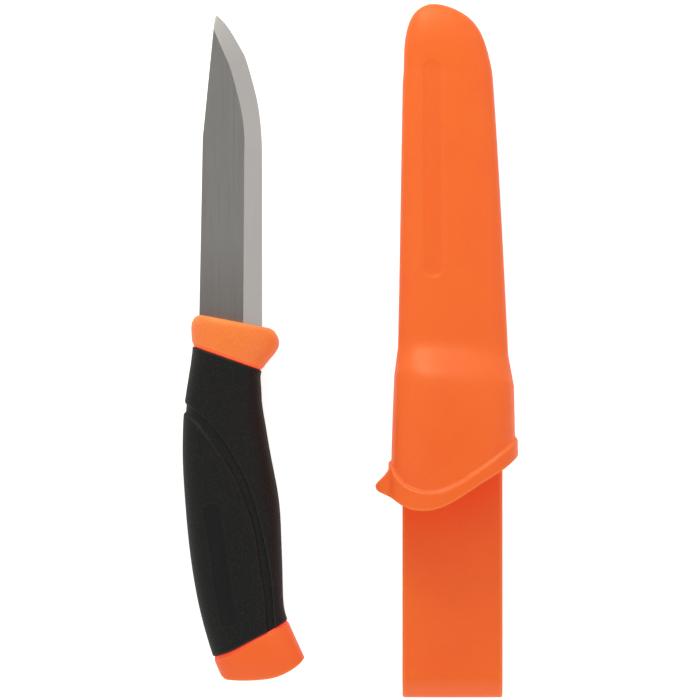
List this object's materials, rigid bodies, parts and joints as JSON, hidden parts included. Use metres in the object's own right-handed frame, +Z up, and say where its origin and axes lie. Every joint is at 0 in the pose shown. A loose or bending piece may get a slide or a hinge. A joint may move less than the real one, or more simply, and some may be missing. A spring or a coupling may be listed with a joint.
{
  "type": "rigging knife",
  "caption": "Fixed-blade rigging knife with finger guard and soft grip, lying beside its moulded sheath with thumb ledge and folded belt clip.",
  "frame": {"origin": "on the table under the middle of the set's bounding box", "axes": "+Y from the knife's butt to its tip, +X from the knife to the sheath, +Z up from the table"},
  "size_m": [0.1098, 0.2273, 0.0407],
  "materials": {
    "blade_steel": "satin ground flats with brighter ground bevels",
    "hard_orange_plastic": "fine satin moulded surface",
    "soft_black_grip": "matt fine grain",
    "sheath_orange_plastic": "fine matt moulded surface"
  },
  "bodies": {
    "sheath": {"sheath_shell": "sheath_orange_plastic"},
    "belt_clip": {"clip_leg": "sheath_orange_plastic"},
    "knife": {"blade_with_tang": "blade_steel", "handle_core": "hard_orange_plastic", "grip_overmould": "soft_black_grip"}
  },
  "joints": [
    {"name": "belt_clip_flex", "type": "hinge", "parent": "sheath", "child": "belt_clip", "pos_m": [0.03347, -0.11361, 0.0145], "axis": [-1, 0, 0], "range_deg": [0, 6], "stiffness_Nm_per_rad": 3.2},
    {"name": "knife_lift", "type": "slide", "parent": "sheath", "child": "knife", "axis": [0, 0, 1], "range_m": [0, 0.06]}
  ]
}
